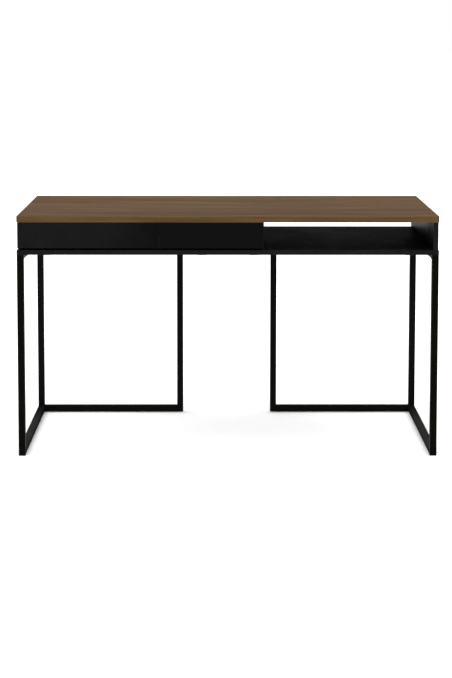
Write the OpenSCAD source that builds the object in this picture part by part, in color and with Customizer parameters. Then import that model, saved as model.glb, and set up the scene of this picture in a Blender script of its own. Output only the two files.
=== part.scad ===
// Writing desk: a board top on a shallow black case with two drawers and one open bay,
// carried by a ring of square steel tube and two leg loops.
// Units are millimetres. X runs along the desk, Y from front (-) to rear (+), Z up.
// The origin is on the floor, under the middle of the desk.

/* [Overall size] */
// Length of the tabletop along X
desk_width = 1300; // [1000:10:1600]
// Depth of the tabletop along Y
desk_depth = 600; // [550:10:700]
// Floor to worktop surface
desk_height = 750; // [700:5:800]

/* [Tabletop] */
// Thickness of the top board
top_thickness = 19; // [16:1:25]
// Thickness of the strip glued to each edge of the top
edge_band = 1; // [0.5:0.5:2]
// Butt joint between two strips at a corner
band_joint = 0.05; // [0.02:0.01:0.2]

/* [Case] */
// Height of the case between the ring frame and the top
case_height = 86; // [80:1:120]
// Thickness of the black boards
board = 15; // [15:1:18]
// Thickness of the panel behind the drawers
back_panel = 4; // [3:1:6]
// Setback of the case from the outline of the top
case_inset = 2; // [1:0.5:5]
// Least overlap of a side panel on the floor panel, past the ring
panel_lap = 2; // [1:0.5:5]
// Clear width of the open bay
bay_width = 522; // [300:1:700]
// Width of the left drawer front, out to the middle of the seam
left_front_width = 435.5; // [300:0.5:450]
// Gap round the floor panel inside the ring
floor_play = 1; // [0.5:0.5:1.5]

/* [Drawers] */
// Seam between the two fronts
front_seam = 2; // [1:0.5:4]
// Gap above the fronts, under the top
front_top_gap = 2; // [1:0.5:4]
// Finger gap below the fronts
front_bottom_gap = 6; // [3:0.5:12]
// Setback of the right front's end from the bay
front_reveal = 1; // [0.5:0.5:3]
// Gap between a closed front and the case
front_stand_off = 2; // [1:0.5:4]
// Bevel along the rear lower edge of a front, to pull by
grip_bevel = 5; // [3:0.5:5]
// Thickness of the drawer sides and backs
drawer_board = 12; // [12:1:15]
// Height of the drawer sides
drawer_side_height = 62; // [52:1:64]
// Depth of the drawer box, from the back of the front
drawer_box_depth = 440; // [410:5:480]
// Clearance from the case floor to the drawer sides
drawer_floor_gap = 8; // [6:1:12]
// Thickness of the drawer bottom
drawer_bottom = 3; // [3:0.5:5]
// Height of the bottom's groove above the lower edge of the sides
groove_lift = 5; // [4:0.5:8]
// Depth of the groove that holds the bottom
groove_depth = 5; // [3:0.5:6]
// Play of the bottom in its groove, each side
groove_play = 0.1; // [0.05:0.05:0.3]

/* [Drawer runners] */
// Length of each runner
runner_length = 400; // [300:50:400]
// Height of the outer member
runner_height = 35; // [35:1:45]
// Thickness of a closed runner
runner_thickness = 12.7; // [12.7:0.1:14]
// Sheet thickness of the members
runner_sheet = 1.2; // [1:0.1:1.5]
// Ball gap between nested members
runner_ball_gap = 1.6; // [1.2:0.1:2]
// Sideways gap between nested members
runner_side_gap = 0.8; // [0.5:0.1:1]
// Height of the runner above the case floor
runner_lift = 6; // [3:0.5:8]
// Setback of the runner behind the front edge of the case
runner_setback = 2; // [1:0.5:6]
// Gap between a low screw head and the middle member
runner_head_gap = 0.6; // [0.4:0.1:0.8]
// Reach of the outer member's lips, as a share of the runner's thickness
runner_lip_share = 0.7; // [0.6:0.05:0.75]
// Distance of the first screw from the runner's front end
runner_first_screw = 35; // [20:5:60]

/* [Steel frame] */
// Side of the square leg tube
leg_tube = 21; // [20:1:30]
// Side of the square ring tube
ring_tube = 15; // [15:1:25]
// Wall thickness of the tubes
tube_wall = 1.5; // [1:0.1:2]
// Outer corner radius of the tubes
tube_corner = 2; // [1.6:0.1:3]
// Length of each rear floor rail, from the desk's end to the outside of its upright
loop_reach = 500; // [300:5:560]
// Thickness of the cap under each leg
foot_cap = 2; // [1:0.5:5]
// Length of the plug of a cap inside its tube
cap_plug = 12; // [8:1:20]
// Play of the plug in its tube, each side
cap_play = 0.2; // [0.1:0.05:0.5]
// Width of a floor strap
strap_width = 25; // [20:1:40]
// Thickness of a floor strap
strap_sheet = 2; // [2:0.5:4]
// Overlap of a strap under the ring rails
strap_lap = 3; // [2:1:8]
// Distance of the inner straps from the middle
strap_inner_x = 80; // [40:5:85]
// Distance of the outer straps from the desk's ends
strap_end_gap = 90; // [60:5:150]

/* [Corner brackets] */
// Reach of a bracket along the rail
bracket_width = 13; // [12:1:25]
// Drop of a bracket down the leg
bracket_drop = 13; // [10:1:30]
// Sheet thickness of a bracket
bracket_sheet = 2; // [1.5:0.5:3]
// Setback of a bracket from the outer face of the frame
bracket_setback = 1; // [0.5:0.5:2]
// Diameter of a bracket bolt
bolt_d = 4; // [3:0.5:6]
// Length of a bracket bolt below its head
bolt_length = 12; // [10:1:14]
// Height of a bracket bolt's head
bolt_head_h = 2; // [1.5:0.25:4]
// Place of the bolt along a bracket, as a share of its width
bracket_bolt_share = 0.56; // [0.5:0.02:0.6]
// Place of the bolt across the ring rail, as a share of the rail's side
rail_bolt_share = 0.6; // [0.55:0.01:0.62]
// Side of the square nut in the rail
nut_side = 7; // [6:0.5:10]
// Thickness of the nut
nut_thick = 3; // [2.5:0.5:5]

/* [Cams and screws] */
// Diameter of a cam in the case boards
cam_d = 15; // [12:1:15]
// Depth of a cam pocket in the case boards
cam_depth = 12.5; // [11.5:0.5:13]
// Distance of a cam's centre below the top
cam_drop = 34; // [24:1:34]
// Distance of the cams from the middle of the desk's depth
cam_y = 200; // [120:5:220]
// Diameter of a cam in the drawer sides
small_cam_d = 12; // [10:1:12]
// Depth of a cam pocket in the drawer sides
small_cam_depth = 9.5; // [9:0.5:10]
// Distance of a drawer cam behind the front
small_cam_back = 24; // [20:1:30]
// Distance of the drawer cams from the groove and from the upper edge of the sides
small_cam_edge = 13; // [10:1:15]
// Diameter of the cam bolts in the case
cam_bolt_d = 6; // [5:0.5:7]
// Diameter of the cam bolts in the drawers
small_bolt_d = 4; // [3:0.5:5]
// Depth of the cam bolts in the board they are screwed to
cam_bolt_grip = 11; // [8:0.5:12]
// Step from the shank of a cam bolt to its thread, in diameter
bolt_thread_step = 1; // [0.5:0.5:1.5]
// Radial room round the shank of a cam bolt
bolt_shank_play = 0.8; // [0.5:0.1:1]
// Room past the end of a cam bolt in its hole
bolt_end_play = 0.5; // [0.2:0.1:1]
// Gap between a cam and the bolt head it draws on, each side
cam_slot_play = 0.5; // [0.3:0.1:0.8]
// Depth of the cross cut in a cam's face
cam_cross_depth = 1; // [0.5:0.1:2]
// Width of the cross cut in a cam's face
cam_cross_width = 1.2; // [0.8:0.1:1.5]
// Diameter of the frame and divider screws
screw_d = 4; // [3.5:0.5:5]
// Length of the frame and divider screws in the upright boards
screw_grip = 30; // [20:1:35]
// Diameter of the runner and back screws
small_screw_d = 3; // [2.5:0.5:3.5]
// Height of the frame and divider screws' heads
head_h = 2.5; // [2:0.5:3]
// Height of the back and drawer screws' heads
tack_head = 1.5; // [1:0.1:1.5]
// Height of the low heads inside the runners
low_head_h = 1.4; // [1:0.1:1.6]
// Length of the back screws in the board they grip
tack_grip = 16; // [10:1:16]
// Distance of the back panel's screws from the case's lower and upper edges
tack_edge = 20; // [15:1:30]
// Distance of a drawer back's screws from its edges
back_screw_edge = 12; // [8:1:15]
// Board left over the point of a runner screw
point_cover = 0.75; // [0.5:0.25:2]
// Board left over the point of a strap screw
strap_point_cover = 3; // [2:0.5:4]
// Room past the point of a screw in its hole
point_play = 1; // [0.5:0.1:2]
// Room past the point of a runner screw in its hole
runner_point_play = 0.25; // [0.1:0.05:0.5]
// Depth a cam lies below the face of its board, front and back together
cam_float = 0.3; // [0.1:0.1:0.5]
// Radial play of a screw or bolt in the piece it grips
thread_play = 0.05; // [0.02:0.01:0.1]
// Radial play of a screw or bolt in the piece it passes through
hole_play = 0.2; // [0.1:0.05:0.5]

/* [Hidden] */
$fn = 48;
eps = 1;      // how far a cutting body stands out of the piece it cuts
lap = 0.01;   // how far the bodies of one piece run into each other

// levels, floor up
z_case1 = desk_height - top_thickness;
z_case0 = z_case1 - case_height;
z_ring0 = z_case0 - ring_tube;
x_out = desk_width / 2;
y_out = desk_depth / 2;

// case, left to right
x_case = x_out - max(case_inset, ring_tube + panel_lap - board);
y_case = y_out - case_inset;
x_left_in = -x_case + board;
x_seam = -x_case + left_front_width;
x_split0 = x_seam - board / 2;
x_split1 = x_seam + board / 2;
x_right_in = x_case - board;
x_bay0 = x_right_in - bay_width;
x_bay_board = x_bay0 - board;
y_carcass = -y_case + board + front_stand_off;
y_back = y_case - back_panel;
z_front0 = z_case0 + front_bottom_gap;
z_front1 = z_case1 - front_top_gap;
y_front_back = -y_case + board;

// drawer box and its opening, by drawer: 0 is the left one, 1 the right one
open_x0 = [x_left_in, x_split1];
open_x1 = [x_split0, x_bay_board];
front_x0 = [-x_case, x_seam + front_seam / 2];
front_x1 = [x_seam - front_seam / 2, x_bay0 - front_reveal];
z_box0 = z_case0 + drawer_floor_gap;
z_box1 = z_box0 + drawer_side_height;
y_box1 = y_front_back + drawer_box_depth;
z_groove0 = z_box0 + groove_lift;
z_groove1 = z_groove0 + drawer_bottom + 2 * groove_play;
small_cam_z = [z_groove1 + small_cam_edge, z_box1 - small_cam_edge];
back_screw_z = [z_groove1 + back_screw_edge, z_box1 - back_screw_edge];

// runners
z_runner = z_case0 + runner_lift + runner_height / 2;
y_runner = y_carcass + runner_setback;
half_outer = runner_height / 2;
half_middle = half_outer - runner_sheet - runner_ball_gap;
half_inner = half_middle - runner_sheet - runner_ball_gap;
u_middle = runner_sheet + low_head_h + runner_head_gap;
u_inner = u_middle + runner_sheet + runner_side_gap;
u_outer_lip = runner_thickness * runner_lip_share;
u_middle_lip = runner_thickness - runner_sheet - runner_side_gap;
runner_grip = min(board, 2 * drawer_board) / 2 - point_cover;
runner_screw_y = [runner_first_screw, 0.4 * runner_length, 0.8 * runner_length];

// frame
z_loop = foot_cap;
x_leg_in = x_out - leg_tube;
y_leg_in = y_out - leg_tube;
x_ring_in = x_out - ring_tube;
y_ring_in = y_out - ring_tube;
x_upright_out = x_out - loop_reach;
cap_side = leg_tube - 2 * tube_wall - 2 * cap_play;
strap_x = [-x_out + strap_end_gap, -strap_inner_x, strap_inner_x, x_out - strap_end_gap];
y_strap = y_ring_in + strap_lap;
strap_screw_y = desk_depth / 4;
strap_screw_grip = ring_tube - strap_point_cover;
bracket_bolt_x = bracket_width * bracket_bolt_share;
bracket_bolt_y = ring_tube * rail_bolt_share;

// screws and bolts: heads and their recesses in shares of the shank's diameter
head_d = screw_d * 2;
small_head_d = small_screw_d * 2;
low_head_d = small_screw_d * 1.9;
bolt_head_d = bolt_d * 1.7;
recess_share = 0.6;
recess_depth_share = 0.5;
cam_thread_d = cam_bolt_d + bolt_thread_step;
small_thread_d = small_bolt_d + bolt_thread_step;
// a cam bolt's head and neck, in shares of its diameter from the cam's centre
bolt_foot = -0.5;
bolt_head_top = 0.2;
bolt_neck_top = 0.7;
bolt_neck = 0.66;
board_screw_y = [-cam_y, 0, cam_y];
x_side_screw = (max(x_out - ring_tube, x_case - board) + x_case) / 2;
z_cam = z_case1 - cam_drop;
tack_z = [z_case0 + tack_edge, z_case1 - tack_edge];
tack_x = [-x_case + board / 2, x_seam, x_bay0 - board / 2];

walnut = [0.42, 0.31, 0.22];
walnut_strip = [0.38, 0.27, 0.18];
black_board = [0.12, 0.12, 0.125];
drawer_black = [0.14, 0.14, 0.145];
fibre_brown = [0.16, 0.15, 0.14];
cap_black = [0.06, 0.06, 0.06];
bracket_grey = [0.22, 0.22, 0.23];
frame_black = [0.1, 0.1, 0.105];
zinc = [0.72, 0.73, 0.75];

// ---------------------------------------------------------------- helpers

// A box given by its two ends along each axis
module slab(x0, x1, y0, y1, z0, z1) {
  translate([x0, y0, z0]) cube([x1 - x0, y1 - y0, z1 - z0]);
}

// A square outline with rounded corners, centred
module rounded_square(side, radius) {
  square([side - 2 * radius, side], center = true);
  square([side, side - 2 * radius], center = true);
  for (sx = [-1, 1], sy = [-1, 1])
    translate([sx * (side / 2 - radius), sy * (side / 2 - radius)]) circle(r = radius);
}

// Square tube along Z from 0
module tube(side, length) {
  linear_extrude(height = length)
    difference() {
      rounded_square(side, tube_corner);
      rounded_square(side - 2 * tube_wall, tube_corner - tube_wall);
    }
}

// The same along X and along Y
module tube_x(side, length) { rotate([90, 0, 90]) tube(side, length); }
module tube_y(side, length) { rotate([-90, 0, 0]) tube(side, length); }

// Round bar between two heights, at x, y
module bar_z(x, y, z0, z1, d) { translate([x, y, z0]) cylinder(d = d, h = z1 - z0); }

// Round bar along X between x0 and x1
module bar_x(x0, x1, y, z, d) {
  translate([min(x0, x1), y, z]) rotate([0, 90, 0]) cylinder(d = d, h = abs(x1 - x0));
}

// Round bar along Y between y0 and y1
module bar_y(x, y0, y1, z, d) {
  translate([x, y0, z]) rotate([-90, 0, 0]) cylinder(d = d, h = y1 - y0);
}

// Everything copied to the other end of the desk
module other_end() { mirror([1, 0, 0]) children(); }

// ---------------------------------------------------------------- tabletop

module tabletop() {
  color(walnut)
    difference() {
      slab(-x_out + edge_band, x_out - edge_band, -y_out + edge_band, y_out - edge_band,
           z_case1, desk_height);
      for (b = case_boards, y = [-cam_y, cam_y])
        bar_z(b[0], y, z_case1 - eps, z_case1 + cam_bolt_grip, cam_thread_d + 2 * thread_play);
    }
}

module tabletop_edge_bands() {
  color(walnut_strip) {
    for (s = [-1, 1]) {
      slab(-x_out, x_out, s > 0 ? y_out - edge_band : -y_out, s > 0 ? y_out : -y_out + edge_band,
           z_case1, desk_height);
      slab(s > 0 ? x_out - edge_band : -x_out, s > 0 ? x_out : -x_out + edge_band,
           -y_out + edge_band + band_joint, y_out - edge_band - band_joint, z_case1, desk_height);
    }
  }
}

// ---------------------------------------------------------------- case

// Upright boards of the case: [middle x, face the cams open to, side of that face]
case_boards = [
  [-x_case + board / 2, x_left_in, 1],
  [x_seam, x_split0, -1],
  [x_bay0 - board / 2, x_bay_board, -1],
  [x_case - board / 2, x_right_in, -1]
];

// Holes for the cams of one case board
module cam_pockets(b) {
  for (y = [-cam_y, cam_y]) {
    bar_x(b[1] + b[2] * eps, b[1] - b[2] * cam_depth, y, z_cam, cam_d + 2 * thread_play);
    bar_z(b[0], y, z_cam, z_case1 + eps, cam_bolt_d + 2 * bolt_shank_play);
  }
}

// Holes for the outer runner screws in the board face at x, which lies on side s of the board
module runner_holes(x, s) {
  for (y = runner_screw_y)
    bar_x(x + s * eps, x - s * runner_grip, y_runner + y, z_runner, small_screw_d + 2 * thread_play);
}

// Holes for the screws that come up into a board at x
module screw_holes_up(x) {
  for (y = board_screw_y)
    bar_z(x, y, z_case0 - eps, z_case0 + screw_grip, screw_d + 2 * thread_play);
}

// Holes for the back panel's screws
module tack_holes(x) {
  for (z = tack_z)
    bar_y(x, y_back - tack_grip, y_back + eps, z, small_screw_d + 2 * thread_play);
}

module left_side_panel() {
  color(black_board)
    difference() {
      slab(-x_case, x_left_in, y_carcass, y_back, z_case0, z_case1);
      cam_pockets(case_boards[0]);
      runner_holes(x_left_in, 1);
      screw_holes_up(-x_side_screw);
      tack_holes(tack_x[0]);
    }
}

module right_side_panel() {
  color(black_board)
    difference() {
      slab(x_right_in, x_case, -y_case, y_case, z_case0, z_case1);
      cam_pockets(case_boards[3]);
      screw_holes_up(x_side_screw);
    }
}

module drawer_divider() {
  color(black_board)
    difference() {
      slab(x_split0, x_split1, y_carcass, y_back, z_case0, z_case1);
      cam_pockets(case_boards[1]);
      runner_holes(x_split0, -1);
      runner_holes(x_split1, 1);
      screw_holes_up(x_seam);
      tack_holes(tack_x[1]);
    }
}

module bay_divider() {
  color(black_board)
    difference() {
      slab(x_bay_board, x_bay0, y_carcass, y_back, z_case0, z_case1);
      cam_pockets(case_boards[2]);
      runner_holes(x_bay_board, -1);
      screw_holes_up(case_boards[2][0]);
      tack_holes(tack_x[2]);
    }
}

// Floor of the case, let into the ring, as thick as the ring is high
module case_floor() {
  color(black_board)
    difference() {
      slab(-x_ring_in + floor_play, x_ring_in - floor_play,
           -y_ring_in + floor_play, y_ring_in - floor_play, z_ring0, z_case0);
      for (b = [case_boards[1], case_boards[2]], y = board_screw_y) {
        bar_z(b[0], y, z_ring0 - eps, z_case0 + eps, screw_d + 2 * hole_play);
        bar_z(b[0], y, z_ring0 - eps, z_ring0 + head_h, head_d + 2 * hole_play);
      }
      for (x = strap_x, s = [-1, 1])
        bar_z(x, s * strap_screw_y, z_ring0 - eps, z_ring0 + strap_screw_grip,
              screw_d + 2 * thread_play);
    }
}

module drawer_back_panel() {
  color(fibre_brown)
    difference() {
      slab(-x_case, x_bay0, y_back, y_case, z_case0, z_case1);
      for (x = tack_x, z = tack_z)
        bar_y(x, y_back - eps, y_case + eps, z, small_screw_d + 2 * hole_play);
    }
}

// ---------------------------------------------------------------- fixings of the case

// Slotted disc that draws a cam bolt home: centre of its open face at 0, opening along +X
module cam(d, depth, bolt, axis_depth) {
  difference() {
    translate([-depth + cam_float / 2, 0, 0]) rotate([0, 90, 0]) cylinder(d = d, h = depth - cam_float);
    room = bolt / 2 + cam_slot_play;
    slab(-axis_depth - room, -axis_depth + room, -room, room, -bolt, d);
    slab(-cam_float - cam_cross_depth, eps, -d / 4, d / 4, -cam_cross_width / 2, cam_cross_width / 2);
    slab(-cam_float - cam_cross_depth, eps, -cam_cross_width / 2, cam_cross_width / 2, -d / 4, d / 4);
  }
}

module cam_locks() {
  color(zinc)
    for (b = case_boards, y = [-cam_y, cam_y])
      translate([b[1], y, z_cam])
        mirror([b[2] < 0 ? 1 : 0, 0, 0])
          cam(cam_d, cam_depth, cam_bolt_d, board / 2);
}

// Headed bolt from a cam's centre up to a board face: foot of the head below 0, thread above reach
module cam_bolt(d, reach, grip) {
  bar_z(0, 0, d * bolt_foot, d * bolt_head_top, d);
  bar_z(0, 0, d * bolt_head_top - lap, d * bolt_neck_top, d * bolt_neck);
  bar_z(0, 0, d * bolt_neck_top - lap, reach, d);
  bar_z(0, 0, reach - lap, reach + grip, d + bolt_thread_step);
}

module cam_bolts() {
  color(zinc)
    for (b = case_boards, y = [-cam_y, cam_y])
      translate([b[0], y, z_cam]) cam_bolt(cam_bolt_d, cam_drop, cam_bolt_grip - bolt_end_play);
}

// Screw standing on its head: underside of the head at 0, shank up
module screw_up(d, length, head, head_height) {
  cylinder(d = d, h = length);
  translate([0, 0, -head_height])
    difference() {
      cylinder(d = head, h = head_height);
      translate([0, 0, -eps])
        cylinder(d = d * recess_share, h = eps + head_height * recess_depth_share, $fn = 6);
    }
}

module divider_screws() {
  color(zinc)
    for (b = [case_boards[1], case_boards[2]], y = board_screw_y)
      translate([b[0], y, z_ring0 + head_h])
        screw_up(screw_d, ring_tube - head_h + screw_grip - point_play, head_d, head_h);
}

module side_panel_screws() {
  color(zinc)
    for (s = [-1, 1], y = board_screw_y)
      translate([s * x_side_screw, y, z_ring0])
        screw_up(screw_d, ring_tube + screw_grip - point_play, head_d, head_h);
}

module back_panel_screws() {
  color(zinc)
    for (x = tack_x, z = tack_z)
      translate([x, y_case, z])
        rotate([90, 0, 0])
          screw_up(small_screw_d, back_panel + tack_grip - point_play, small_head_d, tack_head);
}

// ---------------------------------------------------------------- ring frame

// Wedge behind (s = 1) or in front of the mitre at the ring's front left corner
module mitre_cut(s) {
  near = -eps;
  far = ring_tube + eps;
  translate([-x_out, -y_out, z_ring0 - eps])
    linear_extrude(height = ring_tube + 2 * eps)
      polygon([[near, near], [far, far], s > 0 ? [near, far] : [far, near]]);
}

// The long rail at the front, before the screw and bolt holes
module long_rail() {
  difference() {
    translate([-x_out, -y_out + ring_tube / 2, z_ring0 + ring_tube / 2]) tube_x(ring_tube, desk_width);
    mitre_cut(1);
    mirror([1, 0, 0]) mitre_cut(1);
  }
}

// The short rail at the left end
module short_rail() {
  difference() {
    translate([-x_out + ring_tube / 2, -y_out, z_ring0 + ring_tube / 2]) tube_y(ring_tube, desk_depth);
    mitre_cut(-1);
    mirror([0, 1, 0]) mitre_cut(-1);
    for (y = board_screw_y)
      bar_z(-x_side_screw, y, z_ring0 - eps, z_case0 + eps, screw_d + 2 * hole_play);
  }
}

module ring_front_rail() {
  color(frame_black)
    difference() {
      long_rail();
      for (s = [-1, 1])
        bar_z(s * (x_leg_in - bracket_bolt_x), -y_out + bracket_bolt_y, z_ring0 - eps,
              z_ring0 + tube_wall + eps, bolt_d + 2 * hole_play);
    }
}

module ring_rear_rail() {
  color(frame_black)
    difference() {
      mirror([0, 1, 0]) long_rail();
      for (s = [-1, 1], x = [x_leg_in, x_upright_out])
        bar_z(s * (x - bracket_bolt_x), y_out - bracket_bolt_y, z_ring0 - eps,
              z_ring0 + tube_wall + eps, bolt_d + 2 * hole_play);
    }
}

module ring_left_rail() { color(frame_black) short_rail(); }
module ring_right_rail() { color(frame_black) other_end() short_rail(); }

module floor_straps() {
  color(frame_black)
    for (x = strap_x)
      difference() {
        slab(x - strap_width / 2, x + strap_width / 2, -y_strap, y_strap, z_ring0 - strap_sheet, z_ring0);
        for (s = [-1, 1])
          bar_z(x, s * strap_screw_y, z_ring0 - strap_sheet - eps, z_ring0 + eps, screw_d + 2 * hole_play);
      }
}

module strap_screws() {
  color(zinc)
    for (x = strap_x, s = [-1, 1])
      translate([x, s * strap_screw_y, z_ring0 - strap_sheet])
        screw_up(screw_d, strap_sheet + strap_screw_grip - point_play, head_d, head_h);
}

// ---------------------------------------------------------------- leg loops

// One leg of the left loop, s = -1 at the front and 1 at the rear
module leg(s) {
  translate([-x_out + leg_tube / 2, s * (y_out - leg_tube / 2), z_loop])
    tube(leg_tube, z_ring0 - z_loop);
}

module side_floor_rail() {
  translate([-x_out + leg_tube / 2, -y_leg_in, z_loop + leg_tube / 2])
    tube_y(leg_tube, 2 * y_leg_in);
}

// Wedge above (s = 1) or below the mitre between the rear floor rail and its upright
module loop_mitre_cut(s) {
  near = -eps;
  far = leg_tube + eps;
  translate([-x_upright_out, y_out + eps, z_loop])
    rotate([90, 0, 0])
      linear_extrude(height = leg_tube + 2 * eps)
        polygon([[-near, near], [-far, far], s > 0 ? [-near, far] : [-far, near]]);
}

module rear_floor_rail() {
  difference() {
    translate([-x_leg_in, y_out - leg_tube / 2, z_loop + leg_tube / 2])
      tube_x(leg_tube, x_leg_in - x_upright_out);
    loop_mitre_cut(1);
  }
}

module rear_upright() {
  difference() {
    translate([-x_upright_out - leg_tube / 2, y_out - leg_tube / 2, z_loop])
      tube(leg_tube, z_ring0 - z_loop);
    loop_mitre_cut(-1);
  }
}

module left_front_leg() { color(frame_black) leg(-1); }
module left_rear_leg() { color(frame_black) leg(1); }
module left_side_floor_rail() { color(frame_black) side_floor_rail(); }
module left_rear_floor_rail() { color(frame_black) rear_floor_rail(); }
module left_rear_upright() { color(frame_black) rear_upright(); }
module right_front_leg() { color(frame_black) other_end() leg(-1); }
module right_rear_leg() { color(frame_black) other_end() leg(1); }
module right_side_floor_rail() { color(frame_black) other_end() side_floor_rail(); }
module right_rear_floor_rail() { color(frame_black) other_end() rear_floor_rail(); }
module right_rear_upright() { color(frame_black) other_end() rear_upright(); }

module foot_caps() {
  color(cap_black)
    for (sx = [-1, 1], sy = [-1, 1])
      translate([sx * (x_out - leg_tube / 2), sy * (y_out - leg_tube / 2), 0]) {
        linear_extrude(height = foot_cap) rounded_square(leg_tube, tube_corner);
        translate([0, 0, foot_cap - lap])
          linear_extrude(height = cap_plug) rounded_square(cap_side, tube_corner - tube_wall);
      }
}

// ---------------------------------------------------------------- corner brackets

// Bracket between a leg's inner face at x and the rail, front left way round
module bracket(x) {
  difference() {
    union() {
      // triangular cheek
      translate([x, -y_out + bracket_setback + bracket_sheet, z_ring0])
        rotate([90, 0, 0])
          linear_extrude(height = bracket_sheet)
            polygon([[0, 0], [bracket_width, 0], [0, -bracket_drop]]);
      // flange under the rail
      slab(x, x + bracket_width, -y_out + bracket_setback, -y_ring_in,
           z_ring0 - bracket_sheet, z_ring0);
      // flange down the leg
      slab(x, x + bracket_sheet, -y_out + bracket_setback, -y_ring_in,
           z_ring0 - bracket_drop, z_ring0);
    }
    bar_z(x + bracket_bolt_x, -y_out + bracket_bolt_y, z_ring0 - bracket_sheet - eps, z_ring0 + eps,
          bolt_d + 2 * hole_play);
  }
}

// Children at each of the six brackets: four at the legs, two at the rear uprights
module at_brackets() {
  for (sx = [0, 1]) mirror([sx, 0, 0]) {
    translate([-x_leg_in, 0, 0]) children();
    mirror([0, 1, 0]) {
      translate([-x_leg_in, 0, 0]) children();
      translate([-x_upright_out, 0, 0]) children();
    }
  }
}

module corner_brackets() { color(bracket_grey) at_brackets() bracket(0); }

module bracket_bolts() {
  color(zinc)
    at_brackets()
      translate([bracket_bolt_x, -y_out + bracket_bolt_y, z_ring0 - bracket_sheet])
        screw_up(bolt_d, bolt_length, bolt_head_d, bolt_head_h);
}

module bracket_nuts() {
  color(zinc)
    at_brackets()
      difference() {
        translate([bracket_bolt_x - nut_side / 2, -y_out + bracket_bolt_y - nut_side / 2,
                   z_ring0 + tube_wall])
          cube([nut_side, nut_side, nut_thick]);
        bar_z(bracket_bolt_x, -y_out + bracket_bolt_y, z_ring0 + tube_wall - eps,
              z_ring0 + tube_wall + nut_thick + eps, bolt_d + 2 * thread_play);
      }
}

// ---------------------------------------------------------------- runners

// Channel along Y, its web from u0 to u1 and its lips out to u2, half as high as given
module channel(u0, u1, u2, half, length) {
  difference() {
    slab(min(u0, u2), max(u1, u2), 0, length, -half, half);
    slab(u2 > u1 ? u1 : u2 - eps, u2 > u1 ? u2 + eps : u0, -eps, length + eps,
         -half + runner_sheet, half - runner_sheet);
  }
}

// Children placed with u = 0 on each side wall of drawer i's opening, u pointing inwards
module at_runners(i) {
  translate([open_x0[i], y_runner, z_runner]) children();
  translate([open_x1[i], y_runner, z_runner]) mirror([1, 0, 0]) children();
}

module runner_outer() {
  difference() {
    channel(0, runner_sheet, u_outer_lip, half_outer, runner_length);
    for (y = runner_screw_y) bar_x(-eps, runner_sheet + eps, y, 0, small_screw_d + 2 * hole_play);
  }
}

module runner_middle() {
  channel(u_middle, u_middle + runner_sheet, u_middle_lip, half_middle, runner_length);
}

module runner_inner() {
  difference() {
    channel(runner_thickness - runner_sheet, runner_thickness, u_inner, half_inner, runner_length);
    for (y = runner_screw_y)
      bar_x(runner_thickness - runner_sheet - eps, runner_thickness + eps, y, 0,
            small_screw_d + 2 * hole_play);
  }
}

module left_runner_outers() { color(zinc) at_runners(0) runner_outer(); }
module right_runner_outers() { color(zinc) at_runners(1) runner_outer(); }
module left_runner_middles() { color(zinc) at_runners(0) runner_middle(); }
module right_runner_middles() { color(zinc) at_runners(1) runner_middle(); }
module left_runner_inners() { color(zinc) at_runners(0) runner_inner(); }
module right_runner_inners() { color(zinc) at_runners(1) runner_inner(); }

module runner_outer_screws() {
  color(zinc)
    for (i = [0, 1]) at_runners(i)
      for (y = runner_screw_y)
        translate([runner_sheet, y, 0])
          rotate([0, -90, 0])
            screw_up(small_screw_d, runner_sheet + runner_grip - runner_point_play, low_head_d, low_head_h);
}

// ---------------------------------------------------------------- drawers

// The bottom's groove, between the inner faces of a drawer's sides and into them
module bottom_slot(i, play) {
  x0 = open_x0[i] + runner_thickness + drawer_board;
  x1 = open_x1[i] - runner_thickness - drawer_board;
  slab(x0 - groove_depth + play, x1 + groove_depth - play,
       y_front_back - groove_depth + play, y_box1 + (play > 0 ? 0 : eps),
       z_groove0 + play, z_groove1 - play);
}

// Screw positions between a drawer's sides and back
module at_back_screws(i) {
  for (z = back_screw_z) {
    translate([open_x0[i] + runner_thickness, y_box1 - drawer_board / 2, z]) children();
    translate([open_x1[i] - runner_thickness, y_box1 - drawer_board / 2, z]) mirror([1, 0, 0]) children();
  }
}

// Cam positions in a drawer's sides, on their inner faces
module at_drawer_cams(i) {
  for (z = small_cam_z) {
    translate([open_x0[i] + runner_thickness + drawer_board, y_front_back + small_cam_back, z]) children();
    translate([open_x1[i] - runner_thickness - drawer_board, y_front_back + small_cam_back, z])
      mirror([1, 0, 0]) children();
  }
}

module drawer_front(i) {
  color(black_board)
    difference() {
      slab(front_x0[i], front_x1[i], -y_case, y_front_back, z_front0, z_front1);
      // bevel to pull by
      translate([front_x0[i] - eps, y_front_back, z_front0])
        rotate([90, 0, 90])
          linear_extrude(height = front_x1[i] - front_x0[i] + 2 * eps)
            polygon([[-grip_bevel - eps, -eps], [eps, -eps], [eps, grip_bevel + eps]]);
      bottom_slot(i, 0);
      at_drawer_cams(i)
        bar_y(-drawer_board / 2, -small_cam_back - cam_bolt_grip, -small_cam_back + eps, 0,
              small_thread_d + 2 * thread_play);
    }
}

// A drawer side: s = 0 on the left, 1 on the right
module drawer_side(i, s) {
  x0 = s > 0 ? open_x1[i] - runner_thickness - drawer_board : open_x0[i] + runner_thickness;
  color(drawer_black)
    difference() {
      slab(x0, x0 + drawer_board, y_front_back, y_box1, z_box0, z_box1);
      bottom_slot(i, 0);
      at_drawer_cams(i) {
        bar_x(eps, -small_cam_depth, 0, 0, small_cam_d + 2 * thread_play);
        bar_y(-drawer_board / 2, -small_cam_back - eps, 0, 0, small_bolt_d + 2 * bolt_shank_play);
      }
      at_back_screws(i) bar_x(-eps, drawer_board + eps, 0, 0, small_screw_d + 2 * hole_play);
      at_runners(i)
        for (y = runner_screw_y)
          bar_x(runner_thickness - eps, runner_thickness + runner_grip, y, 0,
                small_screw_d + 2 * thread_play);
    }
}

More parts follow.
